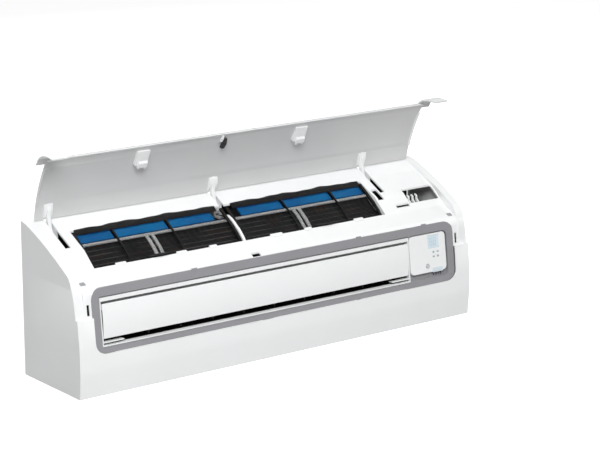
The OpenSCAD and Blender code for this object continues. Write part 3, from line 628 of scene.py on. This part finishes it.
# %% Section of the filters and the sweep helper
ARC_CENTRE = Vector((10, 126))      # out from the wall, up from the underside
ARC_RADIUS = 165.8                  # of the net
ARC_FRONT, ARC_BACK = 40.5, 57.0    # degrees; behind this the section runs straight
ARC_STEPS = 7
STRAIGHT = 43.5                     # length of the straight run


def on_filter(along, lift=0.0):
    """A section point: along is degrees on the arc, or millimetres behind it when negative."""
    angle = math.radians(along if along > 0 else ARC_BACK)
    outward = Vector((math.cos(angle), math.sin(angle)))
    point = ARC_CENTRE + outward * (ARC_RADIUS + lift)
    if along < 0:
        point += Vector((-outward.y, outward.x)) * -along
    return point


def filter_line(lift, front=ARC_FRONT, back=-STRAIGHT):
    """The section from front to back, as points."""
    angles = [front + (ARC_BACK - front) * i / ARC_STEPS for i in range(ARC_STEPS + 1)]
    return [on_filter(a, lift) for a in angles] + [on_filter(back, lift)]


def swept(shape, rings):
    """Bridges rings of points into one closed solid."""
    loops = []
    for ring in rings:
        corners = [shape.verts.new(point) for point in ring]
        loops.append([shape.edges.new((corners[i - 1], corners[i]))
                      for i in range(len(corners))])
    for first, second in zip(loops, loops[1:]):
        bmesh.ops.bridge_loops(shape, edges=first + second)
    for cap in (loops[0], loops[-1]):
        bmesh.ops.contextual_create(shape, geom=cap)
    bmesh.ops.recalc_face_normals(shape, faces=shape.faces)


def bar_along(shape, x0, x1, section):
    """A straight bar with one section, from x0 to x1."""
    swept(shape, [[spot(x, u, v) for u, v in section] for x in (x0, x1)])


def band(low, high, front=ARC_FRONT, back=-STRAIGHT):
    """A closed section between two heights over the net."""
    return filter_line(low, front, back) + filter_line(high, front, back)[::-1]


left_low, left_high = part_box("filter_frame_left")
right_low, right_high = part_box("filter_frame_right")
# the end beside the rib first, then the far end
BAYS = {"left": (left_high.x / MM, left_low.x / MM),
        "right": (right_low.x / MM, right_high.x / MM)}
print("bays from the rib outwards:", BAYS)

# %% Frames with curved bars and a pull tab
RAIL = 6.0                          # width of the side rails
BAR = 3.4                           # width of the curved bars
BAR_INSET = 12.0                    # from the rib's end to where the bays start
LAST_BAY = 0.7                      # its length, as a share of the other bays'
RAIL_LIFT = (-0.8, 3.0)             # undersides and tops over the net
BAR_LIFT = (0.5, 2.8)
FRONT_BAR = (39.0, 41.4)            # degrees on the arc
CARTRIDGES = 3                      # in each filter, with a bar between two of them
TAB = 62.0                          # width of the pull tab
TAB_FRONT = Vector((140.6, 238.4))
TAB_REACH = 9.5
TAB_STEPS = 12


def places(side):
    """The bars' distances from the rib, the filter's length, and a distance's place."""
    rib_end, far_end = BAYS[side]
    length = abs(far_end - rib_end)
    way = 1 if far_end > rib_end else -1
    step = (length - BAR_INSET) / (CARTRIDGES - 1 + LAST_BAY)
    bars = [BAR_INSET + step * i for i in range(1, CARTRIDGES)]
    return bars, length, lambda distance: rib_end + way * distance


def between(along, near, far):
    """Two places along a filter, the lower one first."""
    return sorted((along(near), along(far)))


for side in BAYS:
    bars, length, along = places(side)
    shape = bmesh.new()
    for near, far in ((0, RAIL), (length - RAIL, length)):
        bar_along(shape, *between(along, near, far), band(*RAIL_LIFT))
    for bar in bars:
        bar_along(shape, *between(along, bar - BAR / 2, bar + BAR / 2), band(*BAR_LIFT))
    (front, back), (low, high) = FRONT_BAR, RAIL_LIFT
    bar_along(shape, *between(along, RAIL, length - RAIL),
              [on_filter(front, low), on_filter(front, high), on_filter(back, high),
               on_filter(back, low)])
    middle = along((bars[0] + bars[1]) / 2)
    rings = []
    for i in range(TAB_STEPS + 1):
        share = -1 + 2 * i / TAB_STEPS
        reach = TAB_REACH * math.sqrt(max(0.0, 1 - share * share)) + 0.4
        section = ((0, 0), (1, 4.4), (0.5 + reach, 3.6), (1.0 + reach, 1.6))
        rings.append([spot(middle + share * TAB / 2, TAB_FRONT.x + out, TAB_FRONT.y + up)
                      for out, up in section])
    swept(shape, rings)
    piece = finished(shape, "filter_frame_" + side + "_moulding", "filter_" + side,
                     frame_black)
    rounded_edges(piece, 0.5)
    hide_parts("filter_frame_" + side)
print("two frames with", CARTRIDGES - 1, "bars each")

# %% Nets that carry their own UV map
NET_THICK = 0.5
for side in BAYS:
    _, length, along = places(side)
    x0, x1 = between(along, RAIL - 1, length - RAIL + 1)
    shape = bmesh.new()
    bar_along(shape, x0, x1, band(-NET_THICK, 0.0, ARC_FRONT + 0.5, -STRAIGHT + 1))
    uv = shape.loops.layers.uv.new("UVMap")
    for face in shape.faces:
        for loop in face.loops:
            place = loop.vert.co
            drop = Vector((-place.y / MM, (place.z - casing_low.z) / MM)) - ARC_CENTRE
            loop[uv].uv = (place.x, math.atan2(drop.y, drop.x) * ARC_RADIUS * MM)
    piece = finished(shape, "filter_net_" + side, "filter_" + side, filter_net)
    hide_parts("filter_mesh_" + side)
print("nets stretched")

# %% Pleated cartridges
PLEATS = 5
START, END = 18.5, 41.0             # along the straight run
CREST, PLEAT_DEPTH, FOOT = -1.2, 1.5, -5.0      # heights over the net
FIRST_END, LAST_END = 26.0, 4.0     # distances of the row's ends from the filter's ends
SIDE_GAP = 4
for side in BAYS:
    bars, length, along = places(side)
    ends = [FIRST_END] + bars + [length - LAST_END]
    shape = bmesh.new()
    crests = [on_filter(-(START + (END - START) * i / (2 * PLEATS)),
                        CREST - PLEAT_DEPTH * (i % 2)) for i in range(2 * PLEATS + 1)]
    section = crests + [on_filter(-END, FOOT), on_filter(-START, FOOT)]
    for near, far in zip(ends, ends[1:]):
        bar_along(shape, *between(along, near + SIDE_GAP, far - SIDE_GAP), section)
    piece = finished(shape, "cartridge_pleats_" + side, "filter_" + side, cartridge_blue,
                     smooth=80)
    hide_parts("cartridges_" + side)
print(2 * CARTRIDGES, "cartridges with", PLEATS, "pleats")

# %% Wavy lip at the back of each net
# The lip is soft, so its back edge wanders: a slow and a quicker wave, which fade out at its two
# ends, and a little seeded unevenness.
random.seed(4)
STATIONS = 64
for side in BAYS:
    _, length, along = places(side)
    x0, x1 = between(along, 16, length - 7)
    phase = random.uniform(0, 6)
    rings = []
    for i in range(STATIONS + 1):
        t = i / STATIONS
        slow = 1.5 * math.sin(2 * math.pi * 3.1 * t + phase)
        quick = 0.8 * math.sin(2 * math.pi * 7.3 * t + 2 * phase)
        wave = (1.9 + slow + quick) * min(1, 8 * t, 8 * (1 - t)) + random.uniform(-0.15, 0.15)
        section = ((68.5, 287.2), (67.2, 290.6), (63.5 - wave / 2, 294.2),
                   (60.5 - wave, 296.9 + 0.35 * wave), (59.2 - wave, 296.2 + 0.5 * wave),
                   (60.6, 293.0))
        rings.append([spot(x0 + (x1 - x0) * t, out, up) for out, up in section])
    shape = bmesh.new()
    swept(shape, rings)
    finished(shape, "filter_lip_" + side, "filter_" + side, frame_black,
             smooth=70)
print("lips with", STATIONS, "stations each")

# %% [markdown]
# ## On the panel's inner face
# The open panel is the shut one turned about its hinge, so places on it are given for the shut
# panel and turned up with it. The face bows gently, and everything moulded on it follows that
# bow: stepped clips near the free edge, a turned lip along it, and a boss at each hinge arm.

# %% Places on the open panel
hinge_low, hinge_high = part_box("hinge_pins")
PIVOT = Vector((-(hinge_low.y + hinge_high.y) / 2 / MM,
                ((hinge_low.z + hinge_high.z) / 2 - casing_low.z) / MM))
OPENING = Matrix.Rotation(math.radians(97.7), 2)
# the shut panel's inner face is a bow with these three control points
FACE = [Vector((77, 289)), Vector((142, 270.5)), Vector((203, 214.5))]
INWARD = Vector((-0.5, -0.866))


def on_panel(t, lift=0.0):
    """A point on the inner face: t runs from the rear edge to the free edge."""
    shut = FACE[0] * (1 - t) ** 2 + FACE[1] * 2 * t * (1 - t) + FACE[2] * t * t + INWARD * lift
    return PIVOT + OPENING @ (shut - PIVOT)


def raised(shape, x0, x1, heights):
    """A block on the inner face; heights gives (t, lift) along its length."""
    foot = [on_panel(t, -0.3) for t, _ in heights]
    bar_along(shape, x0, x1, foot + [on_panel(t, lift) for t, lift in heights[::-1]])


_, panel_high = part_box("front_panel")
latch_low, latch_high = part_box("panel_latch")
arms_low, arms_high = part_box("panel_arms")
rib_x = (latch_low.x + latch_high.x) / 2 / MM - 0.5
arm_x = [arms_low.x / MM + 4, rib_x, arms_high.x / MM - 4]
clip_x = [(arm_x[0] + arm_x[1]) / 2, (arm_x[1] + arm_x[2]) / 2]
print("free edge at", [round(v, 1) for v in on_panel(1)], "clips at", clip_x)

# %% Stepped clips, lip and bosses
shape = bmesh.new()
for x in clip_x:
    raised(shape, x - 15, x + 15, [(0.69, 9.5), (0.80, 7.0), (0.91, 4.5)])
    raised(shape, x - 9, x + 13, [(0.66, 12.5), (0.73, 12.0), (0.77, 6.0)])
    for tooth in (x - 5, x + 9):
        raised(shape, tooth - 2.5, tooth + 2.5, [(0.635, 11.5), (0.68, 11.8)])
piece = finished(shape, "panel_clip_steps", "panel", shell_white)
rounded_edges(piece, 0.9)
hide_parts("panel_clips")

shape = bmesh.new()
lip_end = panel_high.x / MM - 22
raised(shape, -lip_end, lip_end, [(0.955, 0.4), (0.992, 2.8)])
piece = finished(shape, "panel_free_lip", "panel", shell_white)
rounded_edges(piece, 0.7)

shape = bmesh.new()
for x in arm_x:
    # the deck is close under the end arms when the panel is shut
    share = 1.0 if x == rib_x else 0.55
    dome = ((0.03, 1.5), (0.08, 5.5), (0.17, 7.0), (0.24, 3.0))
    raised(shape, x - 10, x + 10, [(t, lift * share) for t, lift in dome])
piece = finished(shape, "panel_arm_bosses", "panel", shell_white)
rounded_edges(piece, 2.4, 4)

shape = bmesh.new()
raised(shape, rib_x - 9.5, rib_x - 4.2, [(0.86, 5.0), (0.92, 5.8), (0.965, 3.0)])
piece = finished(shape, "panel_latch_guide", "panel", shell_white)
rounded_edges(piece, 0.9)
print("panel details placed")

# %% [markdown]
# ## On the casing
# A white well closes the slot under each hinge arm. The rib between the filters is capped
# as high as the shut arm allows. Low lips guide the front of the filters, and a small pad stops
# each of the panel's legs.

# %% Arm wells, rib cap, guide lips and leg pads
CAP_RADIUS = 170.4                  # about the filters' arc centre
shape = bmesh.new()
for x in arm_x:
    bar_along(shape, x - 6.5, x + 6.5, [(16, 266), (58, 266), (58, 268.5), (16, 268.5)])
finished(shape, "arm_wells", "unit", inner_white)

shape = bmesh.new()
cap = [on_filter(angle, CAP_RADIUS - ARC_RADIUS) for angle in (49, 53, 57, 60)]
under = [point - Vector((1, 9)) for point in cap]
bar_along(shape, rib_x - 2.9, rib_x + 2.9, cap + [(84, 278.0), (78, 278.2), (77, 268)]
          + under[::-1])
piece = finished(shape, "rib_cap", "unit", shell_white)
rounded_edges(piece, 0.6)

shape = bmesh.new()
LIP_SECTION = [(145.5, 237.4), (146.2, 241.6), (150.5, 240.4), (153, 236.0)]
for x, half in ((-215, 12), (-138, 9), (-360, 12), (22, 15), (105, 9), (240, 12)):
    bar_along(shape, x - half, x + half, LIP_SECTION)
piece = finished(shape, "filter_guide_lips", "unit", shell_white)
rounded_edges(piece, 0.8)

shape = bmesh.new()
PAD_SECTION = [(176, 222.9), (184, 218.7), (184.4, 219.7), (176.4, 223.9)]
pad_x = casing_high.x / MM - 31
for x in (-pad_x, pad_x):
    bar_along(shape, x - 6, x + 6, PAD_SECTION)
finished(shape, "leg_stop_pads", "unit", pad_grey)
print("casing details placed")

# %% [markdown]
# ## On the display cover
# The trim leans back a little, so its details are placed by their height along its face.
# The window is a pale blue display with two faint figures. The lamp lenses carry small plain
# symbols, and a label film sits beside the button. The figures and marks are generic shapes.

# %% Display details
TRIM_FOOT = Vector((212.5, 84))
LEAN = math.radians(7)


def on_trim(x, height, depth):
    """A place on the trim's face: depth is outwards from it."""
    return spot(x, TRIM_FOOT.x - height * math.sin(LEAN) + depth * math.cos(LEAN),
                TRIM_FOOT.y + height * math.cos(LEAN) + depth * math.sin(LEAN))


def plate(shape, x0, x1, h0, h1, depth, thick=0.25):
    """A thin plate on the trim's face."""
    section = ((h0, 0), (h1, 0), (h1, thick), (h0, thick))
    swept(shape, [[on_trim(x, h, depth + d) for h, d in section] for x in (x0, x1)])


window_low, window_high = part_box("display_window")
wx0, wx1 = window_low.x / MM, window_high.x / MM
FIGURE_WIDTH, FIGURE_LOW, FIGURE_HIGH = 8, 84, 100
STROKE = 1.6
shape = bmesh.new()
for x0 in (wx0 + 4, wx0 + 15):
    x1, h0, h1 = x0 + FIGURE_WIDTH, FIGURE_LOW, FIGURE_HIGH
    middle = (h0 + h1) / 2
    for stroke in ((x0, x1, h1 - STROKE, h1), (x0, x1, h0, h0 + STROKE),
                   (x0, x0 + STROKE, h0, h1), (x1 - STROKE, x1, h0, h1),
                   (x0, x1, middle - STROKE / 2, middle + STROKE / 2)):
        plate(shape, *stroke, -1.15, 0.1)
finished(shape, "display_segments", "unit", display_ink)

lens_low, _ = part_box("indicator_lenses")
shape = bmesh.new()
for column in (0, 1):
    for row in (0, 1):
        x, h = lens_low.x / MM + 3.3 + 12 * column, 58.4 + 10 * row
        if (column + row) % 2:
            plate(shape, x - 1.7, x + 1.7, h - 1.2, h + 1.2, -1.1)
        else:
            plate(shape, x - 2.2, x + 0.6, h - 0.7, h + 0.7, -1.1)
            plate(shape, x + 1.1, x + 2.2, h - 1.3, h + 1.3, -1.1)
finished(shape, "lamp_symbols", "unit", print_grey)

shape = bmesh.new()
plate(shape, wx0 + 9, wx1 + 7, 24.5, 34.5, -0.95, 0.2)
finished(shape, "label_film", "unit", label_film)

shape = bmesh.new()
for height in (27, 29.6, 32.2):
    plate(shape, wx0 + 12, wx1 + 30 - height, height, height + 0.7, -0.76, 0.08)
finished(shape, "label_marks", "unit", display_ink)

RING_RADIUS, RING_WALL = 5.6, 0.7
button_low, button_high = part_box("test_button")
centre = on_trim((button_low.x + button_high.x) / 2 / MM, 40.0, -0.95)
turn = Matrix.Rotation(math.radians(90) - LEAN, 4, "X")
shape = bmesh.new()
bmesh.ops.create_cone(shape, cap_ends=False, segments=32, radius1=RING_RADIUS * MM,
                      radius2=RING_RADIUS * MM, depth=0.5 * MM,
                      matrix=Matrix.Translation(centre) @ turn)
bmesh.ops.solidify(shape, geom=shape.faces[:], thickness=RING_WALL * MM)
finished(shape, "button_ring", "unit", button_grey)
print("display details placed")
